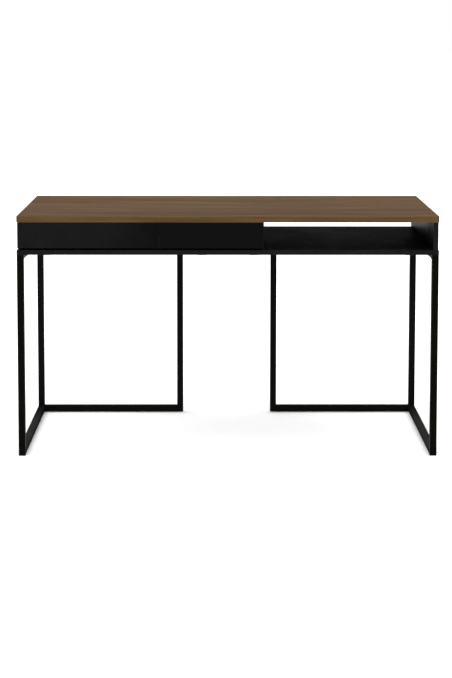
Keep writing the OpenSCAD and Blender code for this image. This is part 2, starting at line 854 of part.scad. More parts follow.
module drawer_back(i) {
  color(drawer_black)
    difference() {
      slab(open_x0[i] + runner_thickness + drawer_board, open_x1[i] - runner_thickness - drawer_board,
           y_box1 - drawer_board, y_box1, z_groove1, z_box1);
      at_back_screws(i)
        bar_x(drawer_board - eps, drawer_board + tack_grip, 0, 0, small_screw_d + 2 * thread_play);
    }
}

module drawer_bottom_panel(i) { color(fibre_brown) bottom_slot(i, groove_play); }

module drawer_cams(i) {
  color(zinc)
    at_drawer_cams(i)
      rotate([90, 0, 0]) cam(small_cam_d, small_cam_depth, small_bolt_d, drawer_board / 2);
}

module drawer_cam_bolts(i) {
  color(zinc)
    at_drawer_cams(i)
      translate([-drawer_board / 2, 0, 0])
        rotate([90, 0, 0]) cam_bolt(small_bolt_d, small_cam_back, cam_bolt_grip - bolt_end_play);
}

// Screws through the sides into the back, and through the inner runner members into the sides
module drawer_screws(i) {
  color(zinc) {
    at_back_screws(i)
      rotate([0, 90, 0])
        screw_up(small_screw_d, drawer_board + tack_grip - point_play, small_head_d, tack_head);
    at_runners(i)
      for (y = runner_screw_y)
        translate([runner_thickness - runner_sheet, y, 0])
          rotate([0, 90, 0])
            screw_up(small_screw_d, runner_sheet + runner_grip - runner_point_play, low_head_d, low_head_h);
  }
}

module left_drawer_front() { drawer_front(0); }
module left_drawer_left_side() { drawer_side(0, 0); }
module left_drawer_right_side() { drawer_side(0, 1); }
module left_drawer_back() { drawer_back(0); }
module left_drawer_bottom() { drawer_bottom_panel(0); }
module left_drawer_cams() { drawer_cams(0); }
module left_drawer_cam_bolts() { drawer_cam_bolts(0); }
module left_drawer_screws() { drawer_screws(0); }
module right_drawer_front() { drawer_front(1); }
module right_drawer_left_side() { drawer_side(1, 0); }
module right_drawer_right_side() { drawer_side(1, 1); }
module right_drawer_back() { drawer_back(1); }
module right_drawer_bottom() { drawer_bottom_panel(1); }
module right_drawer_cams() { drawer_cams(1); }
module right_drawer_cam_bolts() { drawer_cam_bolts(1); }
module right_drawer_screws() { drawer_screws(1); }

// ---------------------------------------------------------------- nodes

tabletop();
tabletop_edge_bands();
left_side_panel();
right_side_panel();
drawer_divider();
bay_divider();
case_floor();
drawer_back_panel();
cam_locks();
cam_bolts();
divider_screws();
side_panel_screws();
back_panel_screws();
ring_front_rail();
ring_rear_rail();
ring_left_rail();
ring_right_rail();
floor_straps();
strap_screws();
left_front_leg();
left_rear_leg();
left_side_floor_rail();
left_rear_floor_rail();
left_rear_upright();
right_front_leg();
right_rear_leg();
right_side_floor_rail();
right_rear_floor_rail();
right_rear_upright();
foot_caps();
corner_brackets();
bracket_bolts();
bracket_nuts();
left_runner_outers();
right_runner_outers();
runner_outer_screws();
left_drawer_front();
left_drawer_left_side();
left_drawer_right_side();
left_drawer_back();
left_drawer_bottom();
left_drawer_cams();
left_drawer_cam_bolts();
left_drawer_screws();
left_runner_middles();
left_runner_inners();
right_drawer_front();
right_drawer_left_side();
right_drawer_right_side();
right_drawer_back();
right_drawer_bottom();
right_drawer_cams();
right_drawer_cam_bolts();
right_drawer_screws();
right_runner_middles();
right_runner_inners();
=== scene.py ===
"""A long writing desk, dressed for the studio.

Each board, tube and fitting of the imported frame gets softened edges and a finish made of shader
nodes. Weld beads, cam covers, rubber bumpers and the runners' balls and ball cages are added to it.
"""

import logging
import math
from dataclasses import dataclass, field, replace
from enum import Enum
from typing import Iterable, Optional, Sequence, Union

import bmesh
import bpy
from mathutils import Matrix, Vector

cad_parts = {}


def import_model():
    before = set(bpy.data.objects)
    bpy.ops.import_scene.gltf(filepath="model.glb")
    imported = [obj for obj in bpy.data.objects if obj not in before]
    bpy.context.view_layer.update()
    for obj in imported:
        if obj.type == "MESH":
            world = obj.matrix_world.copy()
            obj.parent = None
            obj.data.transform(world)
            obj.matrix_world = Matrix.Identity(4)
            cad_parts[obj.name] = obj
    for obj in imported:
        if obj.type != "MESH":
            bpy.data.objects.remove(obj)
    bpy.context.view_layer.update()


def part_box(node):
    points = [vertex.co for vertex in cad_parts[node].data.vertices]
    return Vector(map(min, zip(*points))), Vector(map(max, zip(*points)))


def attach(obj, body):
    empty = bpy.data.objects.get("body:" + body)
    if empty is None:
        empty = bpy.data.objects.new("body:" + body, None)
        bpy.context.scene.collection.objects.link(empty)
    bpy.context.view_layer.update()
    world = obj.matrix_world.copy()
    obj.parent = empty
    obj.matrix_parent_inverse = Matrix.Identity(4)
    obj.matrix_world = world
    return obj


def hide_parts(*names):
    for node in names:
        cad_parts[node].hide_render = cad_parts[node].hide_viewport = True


LOG = logging.getLogger("writing_desk")
MM = 0.001
FLAT_ANGLE = math.radians(1.0)
SHARP_ANGLE = math.radians(38.0)
# Points nearer than this are one point, in metres: in a node's mesh, at a cut, on a turned axis
MERGE_GAP = 2e-6
CUT_GAP = 1e-6
AXIS_GAP = 5e-7

Number = Union[int, float]
Triple = tuple[float, float, float]
Rgb = tuple[float, float, float]
Span = tuple[float, float]
Box = tuple[Vector, Vector]

# The range that nearly all of a noise lies in
NOISE_SPAN: Span = (0.3, 0.7)
# Half outlines of turned fittings: shares of radius and rise, from the foot of the axis to its top
COVER_OUTLINE: Sequence[Span] = (
    (0.0, 0.0), (1.0, 0.0), (1.0, 0.45), (0.94, 0.8), (0.8, 1.0), (0.2, 1.0), (0.16, 0.7), (0.0, 0.7))
BUMPER_OUTLINE: Sequence[Span] = ((0.0, 0.0), (1.0, 0.0), (0.93, 0.6), (0.7, 0.92), (0.0, 1.0))


class Grain(Enum):
    """Which way the fibres of a board run."""

    ALONG_X = 0
    ALONG_Y = 1
    ALONG_Z = 2

    def scales(self, stretch: Triple) -> Triple:
        """Factors along X, Y and Z, from the one along the fibres and the two across them."""
        along, *across = stretch
        return (*across[:self.value], along, *across[self.value:])


class Slot(Enum):
    """Material slots of the stored record."""

    WALNUT = "walnut_laminate"
    WALNUT_BAND = "walnut_edge_band"
    BLACK = "black_laminate"
    HARDBOARD = "hardboard"
    FRAME = "frame_paint"
    BRACKET = "bracket_paint"
    CAP = "cap_plastic"
    RUNNER = "runner_steel"
    ZINC = "zinc_plate"


@dataclass(frozen=True)
class Layer:
    """One layer of cloudy noise in a finish.

    Its fields are the cells a metre, the octaves, the strength of the finer octaves, the swirl, how
    much finer the cells are along the fibres and the two ways across them, and the values between
    which the layer comes to show.
    """

    scale: float
    detail: float = 3.0
    roughness: float = 0.5
    distortion: float = 0.0
    stretch: Triple = (1.0, 1.0, 1.0)
    shown: Span = NOISE_SPAN


# ------------------------------------------------------------------ shader writing


class Value:
    """A shader socket that takes part in Python arithmetic."""

    def __init__(self, sheet: "Sheet", socket: bpy.types.NodeSocket) -> None:
        """Wraps one output socket of the sheet."""
        self.sheet = sheet
        self.socket = socket

    def _math(self, operation: str, *values: Union["Value", Number]) -> "Value":
        """Adds one Math node.

        Args:
            operation: the Math node's operation.
            values: its inputs, in order.

        Returns:
            The node's result.
        """
        inputs = dict(enumerate(values))
        return self.sheet.node("ShaderNodeMath", {"operation": operation}, inputs)

    def __add__(self, other: Union["Value", Number]) -> "Value":
        """Sum."""
        return self._math("ADD", self, other)

    def __sub__(self, other: Union["Value", Number]) -> "Value":
        """Difference."""
        return self._math("SUBTRACT", self, other)

    def __rsub__(self, other: Union["Value", Number]) -> "Value":
        """Difference, the other way round."""
        return self._math("SUBTRACT", other, self)

    def __mul__(self, other: Union["Value", Number]) -> "Value":
        """Product."""
        return self._math("MULTIPLY", self, other)

    __radd__ = __add__
    __rmul__ = __mul__

    def smallest(self, other: "Value") -> "Value":
        """The lesser of two values."""
        return self._math("MINIMUM", self, other)

    def largest(self, other: Union["Value", Number]) -> "Value":
        """The greater of two values."""
        return self._math("MAXIMUM", self, other)

    def step(self, low: float, high: float, start: float = 0.0, end: float = 1.0) -> "Value":
        """Maps low to high smoothly onto start to end, held at both ends.

        Args:
            low: where the change starts.
            high: where it ends.
            start: the result at low and below.
            end: the result at high and above.

        Returns:
            The mapped value.
        """
        settings = {"interpolation_type": "SMOOTHSTEP", "clamp": True}
        inputs = {"Value": self, "From Min": low, "From Max": high, "To Min": start, "To Max": end}
        return self.sheet.node("ShaderNodeMapRange", settings, inputs)

    def around(self, middle: float, spread: Span) -> "Value":
        """Maps a noise onto the values round a middle one, from its least to its greatest offset."""
        return self.step(*NOISE_SPAN, middle + spread[0], middle + spread[1])


class Sheet:
    """The node tree of a material or of the world while it is being written."""

    def __init__(self, owner: Union[bpy.types.Material, bpy.types.World]) -> None:
        """Clears the nodes of a material or world.

        Args:
            owner: the material or world whose nodes are written.
        """
        owner.use_nodes = True
        self.owner = owner
        self.tree = owner.node_tree
        self.tree.nodes.clear()

    @classmethod
    def material(cls, name: str) -> "Sheet":
        """Starts a new material of the given name."""
        return cls(bpy.data.materials.new(name))

    def node(
        self,
        kind: str,
        settings: Optional[dict[str, object]] = None,
        inputs: Optional[dict[Union[str, int], object]] = None,
        output: Union[str, int] = 0,
    ) -> Value:
        """Adds a node.

        Args:
            kind: the node's type name.
            settings: its own settings, set first. "stops" is a ramp's list of position and colour.
            inputs: values or links by socket name or index.
            output: the socket that is returned.

        Returns:
            The chosen output.
        """
        made = self.tree.nodes.new(kind)
        for key, setting in (settings or {}).items():
            if key == "stops":
                self._set_stops(made.color_ramp, setting)
            else:
                setattr(made, key, setting)
        for key, given in (inputs or {}).items():
            socket = made.inputs[key]
            if isinstance(given, Value):
                self.tree.links.new(given.socket, socket)
            elif socket.type == "RGBA" and len(given) == 3:
                socket.default_value = (*given, 1.0)
            else:
                socket.default_value = given
        return Value(self, made.outputs[output])

    @staticmethod
    def _set_stops(ramp: bpy.types.ColorRamp, stops: Sequence[tuple[float, Rgb]]) -> None:
        """Sets the stops of a colour ramp.

        Args:
            ramp: the ramp that is set.
            stops: positions and colours, left to right.
        """
        while len(ramp.elements) < len(stops):
            ramp.elements.new(1.0)
        for element, (position, colour) in zip(ramp.elements, stops):
            element.position = position
            element.color = (*colour, 1.0)

    def place(self, scale: Triple = (1.0, 1.0, 1.0), offset: Triple = (0.0, 0.0, 0.0)) -> Value:
        """Object coordinates, stretched and moved.

        Args:
            scale: factor along each axis.
            offset: shift along each axis, in metres.

        Returns:
            The coordinates.
        """
        at = self.node("ShaderNodeTexCoord", output="Object")
        inputs = {"Vector": at, "Location": offset, "Scale": scale}
        return self.node("ShaderNodeMapping", {"vector_type": "POINT"}, inputs)

    def coordinate(self, axis: int) -> Value:
        """Object coordinate along one axis, in metres."""
        return self.node("ShaderNodeSeparateXYZ", None, {0: self.place()}, output=axis)

    def noise(self, layer: Layer, grain: Grain = Grain.ALONG_X, offset: Triple = (0.0, 0.0, 0.0)) -> Value:
        """Cloudy noise from 0 to 1.

        Args:
            layer: what the noise is like.
            grain: which way its fibres run.
            offset: shift of the pattern along each axis, in metres.

        Returns:
            The noise value.
        """
        at = self.place(grain.scales(layer.stretch), offset)
        inputs = {"Vector": at, "Scale": layer.scale, "Detail": layer.detail,
                  "Roughness": layer.roughness, "Distortion": layer.distortion}
        return self.node("ShaderNodeTexNoise", {"noise_dimensions": "3D"}, inputs)

    def mask(self, layer: Layer, grain: Grain = Grain.ALONG_X, offset: Triple = (0.0, 0.0, 0.0)) -> Value:
        """A layer of noise that is 0 up to where it starts to show, and 1 where it shows in full."""
        return self.noise(layer, grain, offset).step(*layer.shown)

    def ramp(self, at: Value, stops: Sequence[tuple[float, Rgb]]) -> Value:
        """Colours by value.

        Args:
            at: the value.
            stops: positions and colours.

        Returns:
            The colour.
        """
        return self.node("ShaderNodeValToRGB", {"stops": stops}, {"Fac": at})

    def mix(self, amount: Union[Value, float], first: object, second: object,
            blend: str = "MIX") -> Value:
        """Mixes two colours.

        Args:
            amount: share of the second colour.
            first: a colour or a link.
            second: a colour or a link.
            blend: the blend type.

        Returns:
            The mixed colour.
        """
        settings = {"data_type": "RGBA", "blend_type": blend, "clamp_factor": True}
        return self.node("ShaderNodeMix", settings, {0: amount, 6: first, 7: second}, output=2)

    def bump(self, height: Value, depth: float, strength: float,
             under: Optional[Value] = None) -> Value:
        """A bumped normal.

        Args:
            height: relief from 0 to 1.
            depth: height of the relief in metres.
            strength: share of it that shows.
            under: a normal that this one is laid over.

        Returns:
            The normal.
        """
        inputs: dict[Union[str, int], object] = {
            "Height": height, "Distance": depth, "Strength": strength}
        if under is not None:
            inputs["Normal"] = under
        return self.node("ShaderNodeBump", None, inputs)

    def edge_gap(self, low: Vector, high: Vector) -> Value:
        """Distance of a surface point from the nearest long edge of the box low to high.

        Args:
            low: lowest corner, in metres.
            high: highest corner.

        Returns:
            The distance in metres: the middle one of the point's gaps to the box along X, Y and Z.
        """
        gaps = []
        for axis in range(3):
            part = self.coordinate(axis)
            gaps.append((part - low[axis]).smallest(high[axis] - part))
        lesser = gaps[0].smallest(gaps[1])
        greater = gaps[0].largest(gaps[1])
        return lesser.largest(greater.smallest(gaps[2]))

    def surface(self, colour: Value, roughness: Union[Value, float], relief: Optional[Value] = None,
                specular: float = 0.5, metallic: float = 0.0) -> bpy.types.Material:
        """Ends the material in one Principled shader.

        Args:
            colour: the base colour.
            roughness: the roughness.
            relief: the bumped normal, if there is one.
            specular: the specular level.
            metallic: 1 for bare metal, 0 for all else.

        Returns:
            The finished material.
        """
        inputs = {"Base Color": colour, "Roughness": roughness, "Specular IOR Level": specular,
                  "Metallic": metallic}
        if relief is not None:
            inputs["Normal"] = relief
        self.end("ShaderNodeOutputMaterial", self.node("ShaderNodeBsdfPrincipled", None, inputs))
        return self.owner

    def end(self, kind: str, surface: Value) -> None:
        """Links the last shader to a new output node of the given type."""
        out = self.tree.nodes.new(kind)
        self.tree.links.new(surface.socket, out.inputs["Surface"])


# ------------------------------------------------------------------ finishes


@dataclass(frozen=True)
class WalnutPrint:
    """Printed walnut laminate: broad figure, fine streaks, pores and a satin film."""

    dark: Rgb = (0.055, 0.029, 0.014)
    middle: Rgb = (0.105, 0.060, 0.029)
    light: Rgb = (0.159, 0.101, 0.052)
    red: Rgb = (0.119, 0.057, 0.029)
    olive: Rgb = (0.093, 0.069, 0.029)
    rubbed: Rgb = (0.181, 0.120, 0.077)
    grain: Grain = Grain.ALONG_X
    offset: Triple = (0.0, 0.0, 0.11)
    hue_offset: Triple = (1.7, 0.9, 0.3)
    roughness: float = 0.46
    specular: float = 0.1
    figure: Layer = Layer(1.1, 5.0, 0.6, 0.7, (1.0, 26.0, 26.0))
    flames: Layer = Layer(2.2, 3.0, 0.5, 1.5, (1.0, 11.0, 11.0))
    streaks: Layer = Layer(3.4, 4.0, 0.68, 0.2, (1.0, 58.0, 58.0))
    threads: Layer = Layer(4.5, 3.0, 0.6, 0.0, (1.0, 150.0, 150.0))
    pores: Layer = Layer(26.0, 2.0, 0.6, 0.0, (1.0, 40.0, 40.0), (0.6, 0.74))
    hues: Layer = Layer(0.8, 3.0, 0.55, 0.0, (1.0, 26.0, 26.0))
    smears: Layer = Layer(7.0, 4.0, 0.6)
    figure_share: float = 0.36
    flame_share: float = 0.18
    streak_share: float = 0.3
    thread_share: float = 0.16
    tones: Span = (0.33, 0.69)
    reddened: Span = (0.5, 0.68)
    greened: Span = (0.34, 0.5)
    tint: float = 0.5
    pore_shade: float = 0.4
    pore_dullness: float = 0.15
    pore_depth: float = 0.12 * MM
    pore_strength: float = 0.5
    worn_edge: Span = (0.2 * MM, 1.2 * MM)
    wear: float = 0.3
    sheen: Span = (-0.04, 0.08)

    def material(self, name: str, low: Vector, high: Vector) -> bpy.types.Material:
        """Writes the material.

        Args:
            name: its name.
            low: lowest corner of the board.
            high: highest corner.

        Returns:
            The material.
        """
        sheet = Sheet.material(name)
        pore = sheet.mask(self.pores, self.grain, self.offset)
        tone = sheet.noise(self.figure, self.grain, self.offset) * self.figure_share
        tone = tone + sheet.noise(self.flames, self.grain, self.offset) * self.flame_share
        tone = tone + sheet.noise(self.streaks, self.grain, self.offset) * self.streak_share
        tone = tone + sheet.noise(self.threads, self.grain, self.offset) * self.thread_share
        stops = [(0.0, self.dark), (0.5, self.middle), (1.0, self.light)]
        wood = sheet.ramp(tone.step(*self.tones), stops)
        hue = sheet.noise(self.hues, self.grain, self.hue_offset)
        wood = sheet.mix(hue.step(*self.reddened, 0.0, self.tint), wood, self.red)
        wood = sheet.mix(hue.step(*self.greened, self.tint, 0.0), wood, self.olive)
        wood = sheet.mix(pore * self.pore_shade, wood, self.dark, "MULTIPLY")
        worn = sheet.edge_gap(low, high).step(*self.worn_edge, 1.0, 0.0)
        wood = sheet.mix(worn * self.wear, wood, self.rubbed)
        gloss = sheet.noise(self.smears).around(self.roughness, self.sheen) + pore * self.pore_dullness
        relief = sheet.bump(1.0 - pore, self.pore_depth, self.pore_strength)
        return sheet.surface(wood, gloss, relief, self.specular)


@dataclass(frozen=True)
class BlackBoard:
    """Matt black laminate with a faint pearl relief, a dusting, rubbed edges and, where asked, painted
    light.

    painted_light_until says where along X, in metres, the painted light that lightens a left end
    starts to thin and where it is gone.
    """

    base: Rgb = (0.003, 0.003, 0.0031)
    dust_and_lit_colour: Rgb = (0.0055, 0.0055, 0.0055)
    rubbed: Rgb = (0.018, 0.0175, 0.017)
    roughness: float = 0.46
    specular: float = 0.05
    painted_light_until: Optional[Span] = None
    end_painted_light: float = 0.6
    clouds: Layer = Layer(5.0, 4.0, 0.6, shown=(0.4, 0.75))
    specks: Layer = Layer(900.0, 2.0, 0.6, shown=(0.62, 0.78))
    pearls: Layer = Layer(620.0, 2.0, 0.5, stretch=(1.0, 1.4, 1.4))
    scratches: Layer = Layer(1.4, 3.0, 0.7, 0.4, (14.0, 260.0, 120.0), (0.70, 0.76))
    patches: Layer = Layer(60.0, 3.0, 0.6, shown=(0.42, 0.66))
    cloud_dust: float = 0.5
    speck_dust: float = 0.25
    scratch_dust: float = 0.3
    scratch_shine: float = 0.06
    worn_edge: Span = (0.2 * MM, 1.1 * MM)
    least_wear: float = 0.2
    patch_wear: float = 0.5
    pearl_depth: float = 0.06 * MM
    pearl_strength: float = 0.35
    sheen: Span = (-0.05, 0.07)

    def material(self, name: str, low: Vector, high: Vector) -> bpy.types.Material:
        """Writes the material.

        Args:
            name: its name.
            low: lowest corner of the board.
            high: highest corner.

        Returns:
            The material.
        """
        sheet = Sheet.material(name)
        scratch = sheet.mask(self.scratches)
        dust_and_painted_light = sheet.mask(self.clouds) * self.cloud_dust + sheet.mask(self.specks) * self.speck_dust
        # Painted light: where an end span is given, the colour is lightened towards the left end, standing
        # in for light that falls from the left.
        if self.painted_light_until is not None:
            dust_and_painted_light = dust_and_painted_light + sheet.coordinate(0).step(*self.painted_light_until, self.end_painted_light, 0.0)
        colour = sheet.mix(dust_and_painted_light, self.base, self.dust_and_lit_colour)
        worn = sheet.edge_gap(low, high).step(*self.worn_edge, 1.0, 0.0)
        worn = worn * (sheet.mask(self.patches) * self.patch_wear + self.least_wear)
        colour = sheet.mix(worn, colour, self.rubbed)
        colour = sheet.mix(scratch * self.scratch_dust, colour, self.dust_and_lit_colour)
        gloss = sheet.noise(self.clouds).around(self.roughness, self.sheen) - scratch * self.scratch_shine
        relief = sheet.bump(sheet.noise(self.pearls), self.pearl_depth, self.pearl_strength)
        return sheet.surface(colour, gloss, relief, self.specular)


@dataclass(frozen=True)
class PowderCoat:
    """Powder-coated steel: fine orange peel, clouded, rubbed at the edges, with painted shade along Y where
    asked.

    painted_shade_span says where along Y, in metres, painted shade starts and where it is darkest.
    """

    base: Rgb = (0.0062, 0.0062, 0.0064)
    rubbed: Rgb = (0.035, 0.034, 0.034)
    roughness: float = 0.42
    specular: float = 0.06
    wear: float = 0.4
    painted_shade_span: Optional[Span] = None
    darker: float = 0.3
    lighter: float = 1.5
    peel: Layer = Layer(520.0, 2.0, 0.5)
    grit: Layer = Layer(1500.0, 2.0, 0.6)
    clouds: Layer = Layer(9.0, 3.0, 0.6, shown=(0.35, 0.7))
    patches: Layer = Layer(45.0, 4.0, 0.65, shown=(0.45, 0.7))
    worn_edge: Span = (0.4 * MM, 1.9 * MM)
    peel_depth: float = 0.08 * MM
    grit_depth: float = 0.03 * MM
    relief_strength: float = 0.4
    sheen: Span = (-0.04, 0.08)

    def material(self, name: str, low: Vector, high: Vector) -> bpy.types.Material:
        """Writes the material.

        Args:
            name: its name.
            low: lowest corner of the piece.
            high: highest corner.

        Returns:
            The material.
        """
        sheet = Sheet.material(name)
        lighter = tuple(channel * self.lighter for channel in self.base)
        colour = sheet.mix(sheet.mask(self.clouds), self.base, lighter)
        worn = sheet.edge_gap(low, high).step(*self.worn_edge, 1.0, 0.0)
        colour = sheet.mix(worn * sheet.mask(self.patches) * self.wear, colour, self.rubbed)
        # Painted shade: past a given depth along Y the colour darkens, standing in for the shade of a rear
        # corner.
        if self.painted_shade_span is not None:
            darker = tuple(channel * self.darker for channel in self.base)
            colour = sheet.mix(sheet.coordinate(1).step(*self.painted_shade_span), colour, darker)
        gloss = sheet.noise(self.clouds).around(self.roughness, self.sheen)
        relief = sheet.bump(sheet.noise(self.peel), self.peel_depth, self.relief_strength)
        relief = sheet.bump(sheet.noise(self.grit), self.grit_depth, self.relief_strength, relief)
        return sheet.surface(colour, gloss, relief, self.specular)


@dataclass(frozen=True)
class BrushedZinc:
    """Zinc-plated steel strip or bar: long rolling marks, dull patches, a warm tint in places."""

    base: Rgb = (0.46, 0.47, 0.49)
    dull: Rgb = (0.30, 0.30, 0.31)
    tint: Rgb = (0.48, 0.44, 0.33)
    bright: Rgb = (0.62, 0.62, 0.63)
    brushed: Grain = Grain.ALONG_Y
    roughness: float = 0.3
    marks: Layer = Layer(3.0, 3.0, 0.6, stretch=(1.0, 300.0, 300.0))
    patches: Layer = Layer(40.0, 4.0, 0.6)
    dulled: Span = (0.4, 0.7)
    tinted: Span = (0.62, 0.8)
    tint_share: float = 0.4
    rubbed_edge: Span = (0.0, 0.8 * MM)
    wear: float = 0.3
    mark_depth: float = 0.02 * MM
    mark_strength: float = 0.4
    sheen: Span = (-0.07, 0.12)

    def material(self, name: str, low: Vector, high: Vector) -> bpy.types.Material:
        """Writes the material.

        Args:
            name: its name.
            low: lowest corner of the piece.
            high: highest corner.

        Returns:
            The material.
        """
        sheet = Sheet.material(name)
        marks = sheet.noise(self.marks, self.brushed)
        patch = sheet.noise(self.patches)
        colour = sheet.mix(patch.step(*self.dulled), self.base, self.dull)
        colour = sheet.mix(patch.step(*self.tinted) * self.tint_share, colour, self.tint)
        rubbed = sheet.edge_gap(low, high).step(*self.rubbed_edge, 1.0, 0.0)
        colour = sheet.mix(rubbed * self.wear, colour, self.bright)
        relief = sheet.bump(marks, self.mark_depth, self.mark_strength)
        return sheet.surface(colour, marks.around(self.roughness, self.sheen), relief, metallic=1.0)


@dataclass(frozen=True)
class Fibreboard:
    """Painted hardboard: felted fibres under thin black paint."""

    base: Rgb = (0.008, 0.0076, 0.0072)
    fibre: Rgb = (0.02, 0.018, 0.015)
    raw: Rgb = (0.05, 0.034, 0.022)
    roughness: float = 0.66
    specular: float = 0.12
    fibres: Layer = Layer(330.0, 4.0, 0.7, 1.5, (1.0, 1.6, 1.0), (0.45, 0.75))
    clouds: Layer = Layer(11.0, 3.0, 0.6, shown=(0.4, 0.8))
    fibre_share: float = 0.6
    cloud_share: float = 0.2
    raw_edge: Span = (0.1 * MM, 0.9 * MM)
    raw_share: float = 0.5
    fibre_depth: float = 0.12 * MM
    fibre_strength: float = 0.5
    sheen: Span = (-0.06, 0.06)

    def material(self, name: str, low: Vector, high: Vector) -> bpy.types.Material:
        """Writes the material.

        Args:
            name: its name.
            low: lowest corner of the board.
            high: highest corner.

        Returns:
            The material.
        """
        sheet = Sheet.material(name)
        felt = sheet.mask(self.fibres) * self.fibre_share + sheet.mask(self.clouds) * self.cloud_share
        colour = sheet.mix(felt, self.base, self.fibre)
        edge = sheet.edge_gap(low, high).step(*self.raw_edge, 1.0, 0.0)
        colour = sheet.mix(edge * self.raw_share, colour, self.raw)
        gloss = sheet.noise(self.clouds).around(self.roughness, self.sheen)
        relief = sheet.bump(sheet.noise(self.fibres), self.fibre_depth, self.fibre_strength)
        return sheet.surface(colour, gloss, relief, self.specular)


@dataclass(frozen=True)
class MouldedPlastic:
    """Moulded plastic or rubber with a spark-eroded grain and scuffed edges."""

    base: Rgb = (0.0045, 0.0045, 0.0046)
    scuffed: Rgb = (0.025, 0.024, 0.023)
    roughness: float = 0.5
    specular: float = 0.12
    grain: Layer = Layer(1300.0, 3.0, 0.6)
    scuffs: Layer = Layer(70.0, 4.0, 0.7, shown=(0.5, 0.72))
    scuffed_edge: Span = (0.3 * MM, 2.0 * MM)
    least_scuff: float = 0.1
    wear: float = 0.6
    scuff_dullness: float = 0.15
    grain_depth: float = 0.05 * MM
    grain_strength: float = 0.5

    def material(self, name: str, low: Vector, high: Vector) -> bpy.types.Material:
        """Writes the material.

        Args:
            name: its name.
            low: lowest corner of the piece.
            high: highest corner.

        Returns:
            The material.
        """
        sheet = Sheet.material(name)
        scuff = sheet.mask(self.scuffs)
        edge = sheet.edge_gap(low, high).step(*self.scuffed_edge, 1.0, self.least_scuff)
        colour = sheet.mix(scuff * edge * self.wear, self.base, self.scuffed)
        gloss = scuff.step(0.0, 1.0, self.roughness, self.roughness + self.scuff_dullness)
        relief = sheet.bump(sheet.noise(self.grain), self.grain_depth, self.grain_strength)
        return sheet.surface(colour, gloss, relief, self.specular)


Finish = Union[WalnutPrint, BlackBoard, PowderCoat, BrushedZinc, Fibreboard, MouldedPlastic]


# ------------------------------------------------------------------ mesh helpers


def soften(shape: bmesh.types.BMesh, radius: float, segments: int = 2) -> None:
    """Rounds the arrises of a closed shape.

    Args:
        shape: the mesh, changed in place.
        radius: width of the rounding, in metres.
        segments: facets across it.
    """
    sharp = [edge for edge in shape.edges
             if len(edge.link_faces) == 2 and edge.calc_face_angle(0.0) > SHARP_ANGLE]
    bmesh.ops.bevel(shape, geom=sharp, offset=radius, offset_type="OFFSET",
                    affect="EDGES", segments=segments, profile=0.5, material=-1, clamp_overlap=True)


def merged_copy(node: str) -> bmesh.types.BMesh:
    """The mesh of a node of the frame, joined up and with its flat faces cleaned.

    Args:
        node: the node's name.

    Returns:
        A new mesh.
    """
    shape = bmesh.new()
    shape.from_mesh(bpy.data.objects[node].data)
    bmesh.ops.remove_doubles(shape, verts=shape.verts, dist=MERGE_GAP)
    bmesh.ops.dissolve_limit(shape, angle_limit=FLAT_ANGLE, use_dissolve_boundaries=False,
                             verts=shape.verts, edges=shape.edges, delimit=set())
    return shape


def to_object(shape: bmesh.types.BMesh, name: str, materials: Sequence[bpy.types.Material],
              weighted: bool = True) -> bpy.types.Object:
    """Turns a mesh into an object at the origin.

    Args:
        shape: the mesh, freed here.
        name: the object's name.
        materials: its material slots, in order.
        weighted: whether flat faces rule the shading next to rounded arrises.

    Returns:
        The object.
    """
    mesh = bpy.data.meshes.new(name)
    for face in shape.faces:
        face.smooth = True
    shape.to_mesh(mesh)
    shape.free()
    mesh.set_sharp_from_angle(angle=SHARP_ANGLE)
    thing = bpy.data.objects.new(name, mesh)
    bpy.context.scene.collection.objects.link(thing)
    for material in materials:
        mesh.materials.append(material)
    if weighted:
        shading = thing.modifiers.new("flat_shading", "WEIGHTED_NORMAL")
        shading.keep_sharp = True
    return thing


def add_box(shape: bmesh.types.BMesh, low: Vector, high: Vector) -> list[bmesh.types.BMVert]:
    """Adds a box to a mesh.

    Args:
        shape: the mesh.
        low: lowest corner.
        high: highest corner.

    Returns:
        The new vertices.
    """
    size = high - low
    matrix = Matrix.Translation((low + high) / 2) @ Matrix.Diagonal((*size, 1.0))
    return bmesh.ops.create_cube(shape, size=1.0, matrix=matrix)["verts"]


def turned(shape: bmesh.types.BMesh, outline: Sequence[Span], radius: float, rise: float,
           matrix: Matrix, steps: int) -> None:
    """Adds a turned body to a mesh.

    Args:
        shape: the mesh.
        outline: shares of radius and rise of each point, from the foot of the axis to its top.
        radius: the body's radius, in metres.
        rise: its height.
        matrix: where the body's axis, +Z, goes.
        steps: facets round it.
    """
    points = [shape.verts.new((out * radius, 0.0, up * rise)) for out, up in outline]
    edges = [shape.edges.new(pair) for pair in zip(points, points[1:])]
    spun = bmesh.ops.spin(shape, geom=[*points, *edges], cent=(0, 0, 0), axis=(0, 0, 1),
                          dvec=(0, 0, 0), angle=math.tau, steps=steps, use_merge=True,
                          use_normal_flip=False, use_duplicate=False)
    ring = {vert for vert in points if vert.is_valid}
    ring.update(item for item in spun["geom_last"] if isinstance(item, bmesh.types.BMVert))
    linked = grown(ring)
    bmesh.ops.remove_doubles(shape, verts=list(linked), dist=AXIS_GAP)
    linked = grown(vert for vert in linked if vert.is_valid)
    faces = list({face for vert in linked for face in vert.link_faces})
    bmesh.ops.recalc_face_normals(shape, faces=faces)
    bmesh.ops.transform(shape, matrix=matrix, verts=list(linked))


def grown(start: Iterable[bmesh.types.BMVert]) -> set[bmesh.types.BMVert]:
    """All vertices joined to some others by edges.

    Args:
        start: the vertices to start from.

    Returns:
        Those vertices and all that hang on them.
    """
    found = set(start)
    waiting = list(found)
    while waiting:
        for edge in waiting.pop().link_edges:
            for vert in edge.verts:
                if vert not in found:
                    found.add(vert)
                    waiting.append(vert)
    return found


